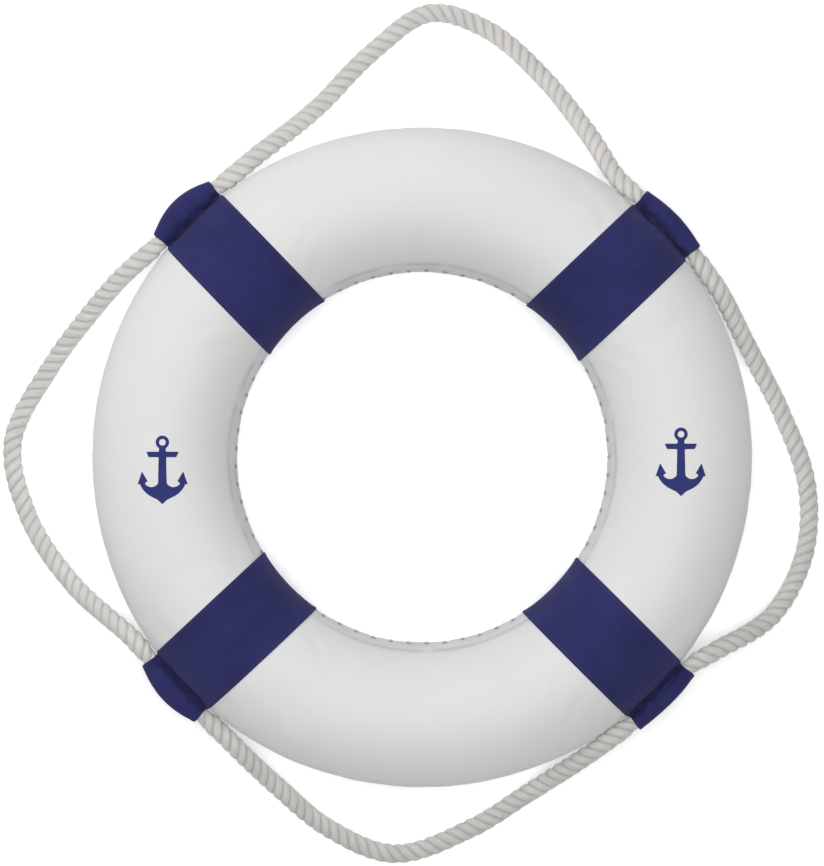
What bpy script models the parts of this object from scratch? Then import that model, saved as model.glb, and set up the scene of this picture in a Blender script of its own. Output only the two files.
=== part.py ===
"""A ring lifebuoy: a foam ring in a sewn fabric cover, with four bands that hold a grab rope.

The ring lies flat with its front face up. +Z is the ring's axis, and z = 0 is the surface it lies on.
All lengths are in metres.
"""

import math

import bmesh
import bpy
from mathutils import Matrix, Vector

# Driving dimensions
RING_OUTER_DIAMETER = 0.500
RING_HOLE_DIAMETER = 0.280
ROPE_DIAMETER = 0.014
BAND_WIDTH = 0.058
ANCHOR_HEIGHT = 0.051
BAND_ANGLES = {"ne": 43.5, "nw": 134.0, "sw": 223.0, "se": 315.0}
JOINT_BAND = "nw"
ANCHOR_PLACES = {"left": (-0.193, -0.009), "right": (0.192, -0.003)}

# Thicknesses and clearances
GAP = 0.0003
COVER_THICKNESS = 0.0010
BAND_THICKNESS = 0.0007
TAPE_THICKNESS = 0.0005
PRINT_THICKNESS = 0.0003
THREAD_DIAMETER = 0.0007
ROPE_CLEARANCE = 0.0009
TUNNEL_OVERLAP = 0.0009
TAPE_LENGTH = 0.030
TAPE_HOLE_LENGTH = 0.036  # of the cutter that opens both of the tape's ends
CREASE_HEIGHT = 0.0056  # of a tunnel's threads above or below the tube's centre plane
THREAD_END_MARGIN = 0.002  # from a band's edge to the end of its threads
WELD_DISTANCE = 0.000001
SHARP_EDGE_ANGLE = math.radians(35)

# Facets: the tube's lowest and highest facets are level, so that the bands rest on flats
RING_SEGMENTS = 48
TUBE_SEGMENTS = 18
TUNNEL_RING_SEGMENTS = 96
TUNNEL_SEGMENTS = 12
THREAD_SEGMENTS = 4
THREAD_STEPS = 3  # from the middle of a tunnel's thread to its end
JOINT_STEPS = 4  # from the rope's joint to the end of its tape
ROPE_BEVEL_RESOLUTION = 2
TAPE_BEVEL_RESOLUTION = 4
FLAT_FACTOR = math.cos(math.pi / TUBE_SEGMENTS)

# Worked out from the driving dimensions
TUBE_RADIUS = (RING_OUTER_DIAMETER - RING_HOLE_DIAMETER) / 4
RING_RADIUS = (RING_OUTER_DIAMETER + RING_HOLE_DIAMETER) / 4
ROPE_RADIUS = ROPE_DIAMETER / 2
THREAD_RADIUS = THREAD_DIAMETER / 2
COVER_INNER_RADIUS = TUBE_RADIUS - COVER_THICKNESS
CORE_RADIUS = COVER_INNER_RADIUS - GAP
BAND_INNER_RADIUS = TUBE_RADIUS + GAP
BAND_OUTER_RADIUS = BAND_INNER_RADIUS + BAND_THICKNESS
TUBE_CENTRE_Z = BAND_OUTER_RADIUS * FLAT_FACTOR
SEAM_RADIUS = TUBE_RADIUS - COVER_THICKNESS / 2
SEAM_HALF_GAP = THREAD_RADIUS + GAP
TAPE_INNER_RADIUS = ROPE_RADIUS + GAP
TAPE_OUTER_RADIUS = TAPE_INNER_RADIUS + TAPE_THICKNESS

# The rope's free loops, each from one tunnel to the next, going round anticlockwise from the joint band.
# It leaves each tunnel level, comes down and lies on the surface in the middle of the loop.
LOOP_AFTER = {
    "nw": [
        (-0.2185, 0.1475, 0.0530),
        (-0.2540, 0.1105, 0.0285),
        (-0.2885, 0.0665, 0.0083),
        (-0.3160, 0.0110, 0.0072),
        (-0.3030, -0.0480, 0.0075),
        (-0.2675, -0.0975, 0.0260),
        (-0.2235, -0.1350, 0.0530),
    ],
    "sw": [
        (-0.1460, -0.2165, 0.0520),
        (-0.1120, -0.2515, 0.0280),
        (-0.0715, -0.2870, 0.0085),
        (-0.0215, -0.3065, 0.0072),
        (0.0355, -0.2880, 0.0072),
        (0.0835, -0.2570, 0.0200),
        (0.1295, -0.2240, 0.0500),
    ],
    "se": [
        (0.2245, -0.1470, 0.0525),
        (0.2695, -0.1200, 0.0285),
        (0.2955, -0.0735, 0.0085),
        (0.2970, -0.0210, 0.0072),
        (0.2775, 0.0340, 0.0075),
        (0.2490, 0.0860, 0.0260),
        (0.2240, 0.1295, 0.0515),
    ],
    "ne": [
        (0.1490, 0.2125, 0.0535),
        (0.1265, 0.2480, 0.0350),
        (0.0945, 0.2915, 0.0115),
        (0.0520, 0.3290, 0.0072),
        (0.0060, 0.3425, 0.0072),
        (-0.0385, 0.3125, 0.0072),
        (-0.0815, 0.2675, 0.0190),
        (-0.1230, 0.2315, 0.0490),
    ],
}
ROPE_ORDER = ("nw", "sw", "se", "ne")
TUNNEL_POINT_OFFSET = BAND_WIDTH / 2
SAMPLES_PER_SPAN = 2


def clear_scene():
    for obj in list(bpy.data.objects):
        bpy.data.objects.remove(obj, do_unlink=True)


def new_collection(name, hidden=False):
    collection = bpy.data.collections.new(name)
    bpy.context.scene.collection.children.link(collection)
    collection.hide_render = hidden
    return collection


def new_material(name, colour, roughness, metallic=0.0):
    material = bpy.data.materials.new(name)
    material.use_nodes = True
    shader = material.node_tree.nodes["Principled BSDF"]
    shader.inputs["Base Color"].default_value = (*colour, 1.0)
    shader.inputs["Roughness"].default_value = roughness
    shader.inputs["Metallic"].default_value = metallic
    material.diffuse_color = (*colour, 1.0)
    return material


def move_to(obj, collection):
    for old in list(obj.users_collection):
        old.objects.unlink(obj)
    collection.objects.link(obj)


def finish_part(obj, name, material):
    """Names a finished solid, gives it its material and shades its round faces smooth."""
    obj.name = name
    obj.data.name = name
    obj.data.materials.clear()
    obj.data.materials.append(material)
    obj.data.shade_smooth()
    obj.data.set_sharp_from_angle(angle=SHARP_EDGE_ANGLE)
    move_to(obj, parts)
    return obj


def make_cutter(obj, name):
    obj.name = name
    obj.hide_render = True
    obj.display_type = "WIRE"
    move_to(obj, cutters)
    return obj


def torus(ring_radius, tube_radius, ring_segments=RING_SEGMENTS, tube_segments=TUBE_SEGMENTS):
    """A torus about the ring's axis, at the height of the tube's centre."""
    bpy.ops.mesh.primitive_torus_add(
        major_radius=ring_radius,
        minor_radius=tube_radius,
        major_segments=ring_segments,
        minor_segments=tube_segments,
        location=(0, 0, TUBE_CENTRE_Z),
    )
    return bpy.context.object


def box(low, high, angle=0.0):
    """A box between two corners, turned about the ring's axis."""
    low, high = Vector(low), Vector(high)
    bpy.ops.mesh.primitive_cube_add(size=1.0)
    obj = bpy.context.object
    turn = Matrix.Rotation(angle, 4, "Z")
    middle = Matrix.Translation((low + high) / 2)
    obj.data.transform(turn @ middle @ Matrix.Diagonal((*(high - low), 1.0)))
    return obj


def combine(obj, other, operation):
    """Adds an exact Boolean of obj with a cutter or tool, which stays in the cutters' collection."""
    modifier = obj.modifiers.new(f"{operation.lower()} {other.name}", "BOOLEAN")
    modifier.operation = operation
    modifier.object = other
    modifier.solver = "EXACT"
    return obj


def poly_tube(points, radius, bevel_resolution):
    """A round tube with capped ends along a list of points, as a closed mesh."""
    curve = bpy.data.curves.new("tube", "CURVE")
    curve.dimensions = "3D"
    curve.bevel_depth = radius
    curve.bevel_resolution = bevel_resolution
    curve.use_fill_caps = True
    spline = curve.splines.new("POLY")
    spline.points.add(len(points) - 1)
    for point, place in zip(spline.points, points):
        point.co = (*place, 1.0)
    guide = bpy.data.objects.new("tube", curve)
    bpy.context.scene.collection.objects.link(guide)
    return mesh_from_curve(guide)


def mesh_from_curve(guide):
    """A mesh object of a curve object's shape, with its caps welded on. The curve is removed."""
    graph = bpy.context.evaluated_depsgraph_get()
    mesh = bpy.data.meshes.new_from_object(guide.evaluated_get(graph))
    shape = bmesh.new()
    shape.from_mesh(mesh)
    bmesh.ops.remove_doubles(shape, verts=shape.verts, dist=WELD_DISTANCE)
    bmesh.ops.recalc_face_normals(shape, faces=shape.faces)
    shape.to_mesh(mesh)
    shape.free()
    obj = bpy.data.objects.new("from curve", mesh)
    obj.matrix_world = guide.matrix_world.copy()
    bpy.context.scene.collection.objects.link(obj)
    bpy.data.objects.remove(guide, do_unlink=True)
    return obj


def on_circle(radius, angle, z=TUBE_CENTRE_Z):
    return Vector((radius * math.cos(angle), radius * math.sin(angle), z))


def smooth_through(points, samples_per_span):
    """Points along a centripetal Catmull-Rom curve through the given ones, which it includes."""
    points = [Vector(point) for point in points]
    padded = [2 * points[0] - points[1], *points, 2 * points[-1] - points[-2]]
    found = []
    for before, start, end, after in zip(padded, padded[1:], padded[2:], padded[3:]):
        first = (start - before).length ** 0.5
        second = first + (end - start).length ** 0.5
        third = second + (after - end).length ** 0.5
        for step in range(samples_per_span):
            at = first + (second - first) * step / samples_per_span
            early = before.lerp(start, at / first)
            middle = start.lerp(end, (at - first) / (second - first))
            late = end.lerp(after, (at - second) / (third - second))
            early = early.lerp(middle, at / second)
            late = middle.lerp(late, (at - first) / (third - first))
            found.append(early.lerp(late, (at - first) / (second - first)))
    return [*found, points[-1]]


def tunnel_hole_radius(name):
    """The joint band's tunnel is wider, because the rope is taped there."""
    inside = TAPE_OUTER_RADIUS if name == JOINT_BAND else ROPE_RADIUS
    return inside + ROPE_CLEARANCE


def tunnel_ring_radius(name):
    """The distance from the ring's axis to the rope's centre inside a tunnel."""
    outside = tunnel_hole_radius(name) + BAND_THICKNESS
    return RING_RADIUS + BAND_OUTER_RADIUS + outside - TUNNEL_OVERLAP


def tunnel_point(name, along):
    """A point on the rope's centre line inside a tunnel, at a distance along it from its middle."""
    radius = tunnel_ring_radius(name)
    return on_circle(radius, math.radians(BAND_ANGLES[name]) + along / radius)


def rope_route():
    """The rope's own points: through every tunnel and loop, from one side of the joint to the other."""
    route = []
    for name in ROPE_ORDER:
        route += tunnel_points(name, (0, 0.5, 1) if name == JOINT_BAND else (-1, 0, 1))
        route += [Vector(point) for point in LOOP_AFTER[name]]
    route += tunnel_points(JOINT_BAND, (-1, -0.5, 0))
    route[0] = tunnel_point(JOINT_BAND, GAP)
    route[-1] = tunnel_point(JOINT_BAND, -GAP)
    return route


def tunnel_points(name, steps):
    return [tunnel_point(name, step * TUNNEL_POINT_OFFSET) for step in steps]


def add_core_half(name, above, material):
    """Half of the foam ring, with half the glue line left free at the split."""
    core = torus(RING_RADIUS, CORE_RADIUS)
    return keep_half(core, name, above, GAP / 2, material)


def add_cover_panel(name, above, material):
    """One panel of the cover: half a tube of fabric, open along both seams."""
    panel = torus(RING_RADIUS, TUBE_RADIUS)
    inside = make_cutter(torus(RING_RADIUS, COVER_INNER_RADIUS), f"inside of {name}")
    combine(panel, inside, "DIFFERENCE")
    return keep_half(panel, name, above, SEAM_HALF_GAP, material)


def keep_half(obj, name, above, split, material):
    """Keeps what lies further than split above or below the tube's centre plane."""
    reach = RING_OUTER_DIAMETER
    if above:
        half = box((-reach, -reach, TUBE_CENTRE_Z + split), (reach, reach, reach))
    else:
        half = box((-reach, -reach, -reach), (reach, reach, TUBE_CENTRE_Z - split))
    combine(obj, make_cutter(half, f"half space of {name}"), "INTERSECT")
    return finish_part(obj, name, material)


def add_seam_thread(name, radius, material):
    thread = torus(radius, THREAD_RADIUS, tube_segments=THREAD_SEGMENTS)
    return finish_part(thread, name, material)


def add_band(name, material):
    """A band with straight parallel edges: a loop round the tube joined to a tunnel round the rope."""
    hole_radius = tunnel_hole_radius(name)
    ring_radius = tunnel_ring_radius(name)
    band = torus(RING_RADIUS, BAND_OUTER_RADIUS)
    sleeve = torus(ring_radius, hole_radius + BAND_THICKNESS, TUNNEL_RING_SEGMENTS, TUNNEL_SEGMENTS)
    rope_hole = torus(ring_radius, hole_radius, TUNNEL_RING_SEGMENTS, TUNNEL_SEGMENTS)
    tube_hole = torus(RING_RADIUS, BAND_INNER_RADIUS)
    reach = RING_OUTER_DIAMETER
    half_width = BAND_WIDTH / 2
    slab = box((0, -half_width, -reach), (reach, half_width, reach), math.radians(BAND_ANGLES[name]))
    combine(band, make_cutter(sleeve, f"sleeve of {name}"), "UNION")
    combine(band, make_cutter(tube_hole, f"tube hole of {name}"), "DIFFERENCE")
    combine(band, make_cutter(rope_hole, f"rope hole of {name}"), "DIFFERENCE")
    combine(band, make_cutter(slab, f"width of {name}"), "INTERSECT")
    return finish_part(band, f"band_{name}", material)


def add_tunnel_thread(name, band, above, material):
    """A thread along the crease between a band's tunnel and the ring."""
    radius = RING_RADIUS + BAND_OUTER_RADIUS + THREAD_DIAMETER
    z = TUBE_CENTRE_Z + (CREASE_HEIGHT if above else -CREASE_HEIGHT)
    reach = (BAND_WIDTH / 2 - THREAD_END_MARGIN) / radius
    middle = math.radians(BAND_ANGLES[band])
    points = []
    for step in range(-THREAD_STEPS, THREAD_STEPS + 1):
        points.append(on_circle(radius, middle + reach * step / THREAD_STEPS, z))
    return finish_part(poly_tube(points, THREAD_RADIUS, 0), name, material)


def add_rope(name, material):
    points = smooth_through(rope_route(), SAMPLES_PER_SPAN)
    for point in points:
        point.z = max(point.z, ROPE_RADIUS)
    return finish_part(poly_tube(points, ROPE_RADIUS, ROPE_BEVEL_RESOLUTION), name, material)


def add_joint_tape(name, material):
    """A sleeve of tape round the rope's two ends."""
    tape = poly_tube(joint_path(TAPE_LENGTH), TAPE_OUTER_RADIUS, TAPE_BEVEL_RESOLUTION)
    hole = poly_tube(joint_path(TAPE_HOLE_LENGTH), TAPE_INNER_RADIUS, TAPE_BEVEL_RESOLUTION)
    combine(tape, make_cutter(hole, "hole of the tape"), "DIFFERENCE")
    return finish_part(tape, name, material)


def joint_path(length):
    """Points on the rope's centre line on both sides of the joint."""
    points = []
    for step in range(-JOINT_STEPS, JOINT_STEPS + 1):
        points.append(tunnel_point(JOINT_BAND, length / 2 * step / JOINT_STEPS))
    return points


def arc(centre, radius, start, end, steps):
    """Points along an arc, with its angles in degrees."""
    points = []
    for step in range(steps + 1):
        angle = math.radians(start + (end - start) * step / steps)
        points.append((centre[0] + radius * math.cos(angle), centre[1] + radius * math.sin(angle)))
    return points


def anchor_outlines():
    """The outline of a plain anchor and of the hole in its eye, for a height of 1 with the tip at 0."""
    eye = (0.0, 0.905)
    right = arc(eye, 0.095, 90, -60, 6)
    right += [(0.050, 0.765), (0.235, 0.765), (0.200, 0.685), (0.055, 0.685)]
    right += arc((0.175, 0.360), 0.115, 210, 330, 4)
    right += [(0.215, 0.335), (0.300, 0.480), (0.365, 0.285)]
    right += arc((0.0, 0.430), 0.350, -22, -65, 4)
    tip = [(0.070, 0.065), (0.0, 0.0)]
    left = [(-x, y) for x, y in (right + tip)[-2:0:-1]]
    return right + tip + left, arc(eye, 0.050, 0, 330, 11)


def add_anchor_print(name, place, material):
    """A thin printed anchor that follows the top of the tube."""
    curve = bpy.data.curves.new("anchor", "CURVE")
    curve.dimensions = "2D"
    curve.fill_mode = "BOTH"
    curve.extrude = TUBE_RADIUS / 2
    for outline in anchor_outlines():
        spline = curve.splines.new("POLY")
        spline.points.add(len(outline) - 1)
        spline.use_cyclic_u = True
        for point, (x, y) in zip(spline.points, outline):
            point.co = (x * ANCHOR_HEIGHT, (y - 0.5) * ANCHOR_HEIGHT, 0.0, 1.0)
    guide = bpy.data.objects.new("anchor", curve)
    guide.location = (*place, TUBE_CENTRE_Z + TUBE_RADIUS)
    bpy.context.scene.collection.objects.link(guide)
    film = mesh_from_curve(guide)
    inner_radius = TUBE_RADIUS + GAP
    skin = make_cutter(torus(RING_RADIUS, inner_radius + PRINT_THICKNESS), f"skin of {name}")
    under = make_cutter(torus(RING_RADIUS, inner_radius), f"under {name}")
    combine(film, skin, "INTERSECT")
    combine(film, under, "DIFFERENCE")
    return finish_part(film, name, material)


clear_scene()
parts = new_collection("ring_lifebuoy")
cutters = new_collection("cutters", hidden=True)

foam = new_material("foam", (0.90, 0.90, 0.88), 0.9)
white_cloth = new_material("white cover cloth", (0.80, 0.80, 0.79), 0.75)
navy_cloth = new_material("navy band cloth", (0.030, 0.030, 0.130), 0.8)
cotton = new_material("cotton rope", (0.72, 0.69, 0.62), 0.95)
white_thread = new_material("white thread", (0.55, 0.56, 0.60), 0.7)
navy_thread = new_material("navy thread", (0.015, 0.015, 0.060), 0.7)
tape_film = new_material("tape", (0.75, 0.72, 0.62), 0.5)
print_film = new_material("navy print", (0.035, 0.040, 0.160), 0.6)

add_core_half("core_front_half", True, foam)
add_core_half("core_rear_half", False, foam)
add_cover_panel("cover_front_panel", True, white_cloth)
add_cover_panel("cover_rear_panel", False, white_cloth)
add_seam_thread("inner_seam_thread", RING_RADIUS - SEAM_RADIUS, white_thread)
add_seam_thread("outer_seam_thread", RING_RADIUS + SEAM_RADIUS, white_thread)
for band_name in BAND_ANGLES:
    add_band(band_name, navy_cloth)
    add_tunnel_thread(f"needle_thread_{band_name}", band_name, True, navy_thread)
    add_tunnel_thread(f"bobbin_thread_{band_name}", band_name, False, navy_thread)
add_rope("grab_rope", cotton)
add_joint_tape("rope_joint_tape", tape_film)
for side, anchor_place in ANCHOR_PLACES.items():
    add_anchor_print(f"anchor_print_{side}", anchor_place, print_film)
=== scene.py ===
"""The looks of the ring lifebuoy around its CAD frame: sewn cover, bands, rope, threads, foam and prints."""

import math

import bmesh
import bpy
import numpy as np
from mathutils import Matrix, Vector
from mathutils.bvhtree import BVHTree
from numpy.linalg import norm


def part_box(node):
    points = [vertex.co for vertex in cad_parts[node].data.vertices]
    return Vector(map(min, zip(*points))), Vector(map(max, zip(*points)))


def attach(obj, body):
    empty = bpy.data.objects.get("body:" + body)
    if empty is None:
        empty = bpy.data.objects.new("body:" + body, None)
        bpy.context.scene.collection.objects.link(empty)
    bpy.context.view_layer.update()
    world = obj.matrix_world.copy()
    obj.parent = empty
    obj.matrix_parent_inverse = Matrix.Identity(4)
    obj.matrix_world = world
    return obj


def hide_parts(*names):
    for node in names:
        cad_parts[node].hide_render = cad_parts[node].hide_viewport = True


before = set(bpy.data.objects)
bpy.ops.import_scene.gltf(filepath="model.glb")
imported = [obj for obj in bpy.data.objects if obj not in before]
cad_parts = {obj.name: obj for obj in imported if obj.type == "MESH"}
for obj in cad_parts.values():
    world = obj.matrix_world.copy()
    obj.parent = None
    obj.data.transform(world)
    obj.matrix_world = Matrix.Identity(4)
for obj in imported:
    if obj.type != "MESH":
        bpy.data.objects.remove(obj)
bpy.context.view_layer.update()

# The ring's own sizes, from the frame
outer_seam_low, outer_seam_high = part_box("outer_seam_thread")
inner_seam_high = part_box("inner_seam_thread")[1]
CENTRE_Z = (outer_seam_low.z + outer_seam_high.z) / 2
THREAD_RADIUS = (outer_seam_high.z - outer_seam_low.z) / 2
RING_RADIUS = (outer_seam_high.x + inner_seam_high.x) / 2 - THREAD_RADIUS
COVER_THICKNESS = 0.0010
TUBE_RADIUS = (outer_seam_high.x - inner_seam_high.x + COVER_THICKNESS) / 2
HOLE_RADIUS = RING_RADIUS - TUBE_RADIUS

# The rope and the bands, as the CAD source has them
ROPE_DIAMETER = 0.014
ROPE_RADIUS = ROPE_DIAMETER / 2
BAND_WIDTH = 0.058
HALF_BAND = BAND_WIDTH / 2
GAP = 0.0003
BAND_ANGLES = {"ne": 43.5, "nw": 134.0, "sw": 223.0, "se": 315.0}
JOINT_BAND = "nw"
ROPE_ORDER = ("nw", "sw", "se", "ne")
LOOP_AFTER = {
    "nw": [
        (-0.2185, 0.1475, 0.0530),
        (-0.2540, 0.1105, 0.0285),
        (-0.2885, 0.0665, 0.0083),
        (-0.3160, 0.0110, 0.0072),
        (-0.3030, -0.0480, 0.0075),
        (-0.2675, -0.0975, 0.0260),
        (-0.2235, -0.1350, 0.0530),
    ],
    "sw": [
        (-0.1460, -0.2165, 0.0520),
        (-0.1120, -0.2515, 0.0280),
        (-0.0715, -0.2870, 0.0085),
        (-0.0215, -0.3065, 0.0072),
        (0.0355, -0.2880, 0.0072),
        (0.0835, -0.2570, 0.0200),
        (0.1295, -0.2240, 0.0500),
    ],
    "se": [
        (0.2245, -0.1470, 0.0525),
        (0.2695, -0.1200, 0.0285),
        (0.2955, -0.0735, 0.0085),
        (0.2970, -0.0210, 0.0072),
        (0.2775, 0.0340, 0.0075),
        (0.2490, 0.0860, 0.0260),
        (0.2240, 0.1295, 0.0515),
    ],
    "ne": [
        (0.1490, 0.2125, 0.0535),
        (0.1265, 0.2480, 0.0350),
        (0.0945, 0.2915, 0.0115),
        (0.0520, 0.3290, 0.0072),
        (0.0060, 0.3425, 0.0072),
        (-0.0385, 0.3125, 0.0072),
        (-0.0815, 0.2675, 0.0190),
        (-0.1230, 0.2315, 0.0490),
    ],
}

# The laid rope
STRANDS = 3
LAY = 0.026  # of one full turn of a strand
STRAND_SWELL = 0.0003  # of a slack rope's crests past its nominal size
GROOVE_DEPTH = 0.0014
GROOVE_SHARPNESS = 2.6
RINGS_PER_LAY = 14
POINTS_PER_STRAND = 26
PINCHED_RADIUS = 0.2569  # of the rope's centre from the ring's axis, in a tunnel
PINCH_FLATTEN = 0.18
PINCH_HEIGHT = 0.96
PINCH_REACH = 0.031  # from a tunnel's middle, to just past its mouth
PINCH_FADE = 0.009
PULL_FADE = 0.048  # over which the rope leaves the ring's side
ROUTE_SAMPLES = 24  # between two points of the CAD route
UNEVENNESS = 0.00012  # of the strands' surface
STRAND_STEP = 0.004  # round the rope, for that

# The tape round the rope's joint
TAPE_ROWS = 40
TAPE_COLUMNS = 48
TAPE_TURN = 0.010  # along the rope, from one turn to the next
TAPE_INSIDE = 0.0001  # past the rope's surface
TAPE_OUTSIDE = 0.0003  # where a turn starts
TAPE_THICKNESS = 0.0004  # that a turn's edge adds

# The cover
INNER_STITCHES = 65
STEPS_PER_STITCH = 6
THETA_STEPS = INNER_STITCHES * STEPS_PER_STITCH
FINE_ROWS = (1.6, 4.2, 8.0, 12.0, 16.5, 20.5, 24.0, 27.5)  # degrees from a seam
STITCH_ROW = 8.0
ROW_STEP = 4.0
SEAM_DEPTH = 0.0015
STITCH_DEPTH = 0.0011  # of the inner seam's dimples, more than the seam's own
BAND_SQUEEZE = 0.0008
SLACK = 0.0002
CAP_OUT = 0.0005
CAP_IN = 0.0030
CLOTH_SHARE = 0.6  # of the simulated movement that the stiff canvas shows
RIDGE_DEPTH = 0.0009  # of the line where the seam allowance ends under the cloth
RIDGE_ANGLE = 24  # degrees from the inner seam
RIDGE_WIDTH = 2.6
PUCKER_DEPTH = 0.0005  # of the folds at each stitch of the inner seam
PUCKER_REACH = 15
UNDER_BAND = 0.002  # in from a band's edge, where it starts to hold the cover
STITCH_UNEVENNESS = 0.25
AT_STITCH = 0.9  # the least stitch phase of a point that a stitch holds
CLOTH_FRAMES = 20
CANVAS = {
    "quality": 5,
    "mass": 0.3,
    "tension_stiffness": 30,
    "compression_stiffness": 30,
    "shear_stiffness": 12,
    "bending_stiffness": 0.6,
    "shrink_min": -0.004,
    "use_pressure": True,
    "uniform_pressure_force": 4,
}
SEAM_SHADE_START = 8  # degrees from the inner seam, where its painted shade starts to fade
SEAM_SHADE_END = 34
SEAM_HALF_GAP = 0.0003
SEAM_ALLOWANCE = 0.0022
LINING_STEP = 3  # the cloth's inner side has one row for this many outer ones
FOAM_CLEARANCE = 0.0006
FOAM_COLUMN_STEP = 2  # the foam has one column for this many of the cover's
FACE_ROWS = 9  # across a foam half's glued face
FOAM_EDGE_ANGLE = 50

# The bands
CLOTH_THICKNESS = 0.0007
BAND_WRAP_RADIUS = 0.0554
MOUTH_REACH = 0.2644  # of a tunnel's outer edge from the ring's axis, at its mouths
TUNNEL_HALF_HEIGHT = 0.0088
TUNNEL_ROWS = 22
CREASE_ROWS = 9
WRAP_ROWS = 132
MOUTH_RADIUS = 0.0070
TUNNEL_SLACK = {"ne": 0.0025, "nw": 0.0062, "sw": 0.0048, "se": 0.0014}
CREASE_RADIUS = 0.0016
CREASE_PINCH = 0.05
CREASE_DENT = 0.0018  # of the ring, where a crease's stitches pull its cloth in
DENT_REACH = 13  # degrees round the tube
DENT_ANGLE = 7
PUCKER = {"ne": 0.00080, "nw": 0.00035, "sw": 0.00080, "se": 0.00060}
HEM_WIDTH = 0.0040
HEM_RISE = 0.0003
HEM_TOP = 0.6  # of the hem's width, where it has its whole height
BAND_STEPS = 30  # across a band's width
FOLD_LENGTH = 0.40  # round a band, for its folds
FOLD_REACH = 0.010  # of the puckers from the crease
FOLD_LOW = -0.7
FOLD_HIGH = 1.8
SOFT_FOLDS = 0.00012
INSIDE_LIFT = 0.0002  # the most that the inner side follows the outer one
EDGE_GROWTH = 0.16  # of a step, for a band's rounded edges
EDGE_LENGTH = 0.0005  # of those edges in the UV map
CREASE_UNEVENNESS = 0.35
CREASE_LIMIT = 1.5
CREASE_SHADE = 0.0048  # of the painted shade from the crease
NARROWING_REACH = 0.007
HEIGHT_REACH = 0.004  # from the crease, over which a tunnel gains its height
FLOOR_CLEARANCE = 0.0002

# The stitches
STITCH_SIDES = 8
STITCH_RINGS = 9
STITCH_DIVE = 1.2  # of the thread's radius, at a stitch's ends
HOLE_STITCH = (0.0056, 0.0006, 0.0003)  # length, radius and rise
RIM_STITCH = (0.0020, 0.0003, 0.0)
CREASE_STITCH = (0.0026, 0.00035, 0.0002)
RIM_STITCHES = 360
RIM_SLANT = 0.35
RIM_SINK = 0.0004
CREASE_STITCHES = 15
CREASE_SPAN = 0.85  # of a band's width that they take up
CREASE_LIFT = 0.0001

# The anchor prints
GUIDE_HALF = 0.0008  # of the flat anchor's thickness, before it lies on the cover
FILM_VOXEL = 0.0004
FILM_MIDDLE = 0.00012  # above the cover
FILM_HALF = 0.00008

# Threads of the cloths and the rope
CANVAS_PITCH = 0.00042
TWILL_PITCH = 0.00055
TAPE_PITCH = 0.0005
THREAD_SHARE = 0.3  # of the twill's cross threads
YARNS = 36  # round the rope

# The camera and the light
CAMERA_PLACE = (-0.0077, 0.0184, CENTRE_Z + 2.6)
VIEW_HEIGHT = 0.6567  # of the picture, at the tube's centre plane
SENSOR = 36.0
FLOOR_HALF = 8.0
FLOOR_TONE = 0.92
FLOOR_GLOW = 0.32
WORLD_LIGHT = 0.10


def smoothstep(low, high, value):
    share = np.clip((value - low) / (high - low), 0.0, 1.0)
    return share * share * (3 - 2 * share)


def wave_sum(seed, count, longest, shortest):
    """A smooth random function of two lengths, about -1 to 1, as a sum of plane waves."""
    random = np.random.default_rng(seed)
    lengths = longest * (shortest / longest) ** random.random(count)
    headings = random.random(count) * math.tau
    phases = random.random(count) * math.tau
    across = math.tau * np.cos(headings) / lengths
    along = math.tau * np.sin(headings) / lengths

    def height(u, v):
        turn = across * np.asarray(u)[..., None] + along * np.asarray(v)[..., None]
        return np.cos(turn + phases).sum(-1) / math.sqrt(count / 2)

    return height


def even_angles(count):
    return math.tau * np.arange(count) / count


def polar(radius, angle, z):
    return np.stack([radius * np.cos(angle), radius * np.sin(angle), z + 0 * radius], axis=-1)


def tube_points(theta, phi, radius):
    """Points round the ring: theta about its axis, phi round its tube from the outside over the front."""
    return polar(RING_RADIUS + radius * np.cos(phi), theta, CENTRE_Z + radius * np.sin(phi))


def grid_corners(rows, columns):
    """The row and the column of every face's four corners, for this many rows and columns of faces."""
    row = np.arange(rows)[:, None]
    column = np.arange(columns)[None, :]
    return [(row, column), (row + 1, column), (row + 1, column + 1), (row, column + 1)]


def grid_faces(rows, columns, wrap_rows=True):
    """Quads of a grid of points whose index is row * columns + column, closed round each of its rows."""
    corners = grid_corners(rows if wrap_rows else rows - 1, columns)
    return np.stack([r % rows * columns + c % columns for r, c in corners], axis=-1).reshape(-1, 4)


def closed_tube_faces(rows, columns):
    """A tube's faces, with both ends closed."""
    faces = [*grid_faces(rows, columns, wrap_rows=False), range(columns)]
    faces.append([(rows - 1) * columns + index for index in reversed(range(columns))])
    return faces


def grid_uvs(u_edges, v_edges):
    """The corners' UVs for grid_faces: u by row and v by column, each with one value more than faces."""
    corners = grid_corners(len(u_edges) - 1, len(v_edges) - 1)
    pairs = [np.stack(np.broadcast_arrays(u_edges[r], v_edges[c]), axis=-1) for r, c in corners]
    return np.stack(pairs, axis=2).reshape(-1, 2)


def new_object(name, data):
    obj = bpy.data.objects.new(name, data)
    bpy.context.scene.collection.objects.link(obj)
    return obj


def mesh_object(name, points, faces, uvs=None):
    """A smooth-shaded mesh object. faces is an array of quads, or a list of faces of any size."""
    mesh = bpy.data.meshes.new(name)
    mesh.from_pydata(np.asarray(points).reshape(-1, 3).tolist(), [], [list(map(int, f)) for f in faces])
    if uvs is not None:
        layer = mesh.uv_layers.new(name="cloth")
        layer.data.foreach_set("uv", np.asarray(uvs, np.float32).ravel())
    mesh.shade_smooth()
    return new_object(name, mesh)


def mesh_points(mesh):
    """A mesh's points, as an array."""
    found = np.zeros(3 * len(mesh.vertices), np.float32)
    mesh.vertices.foreach_get("co", found)
    return found.reshape(-1, 3).astype(float)


def set_all(target, settings):
    for setting, value in settings.items():
        setattr(target, setting, value)


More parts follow.
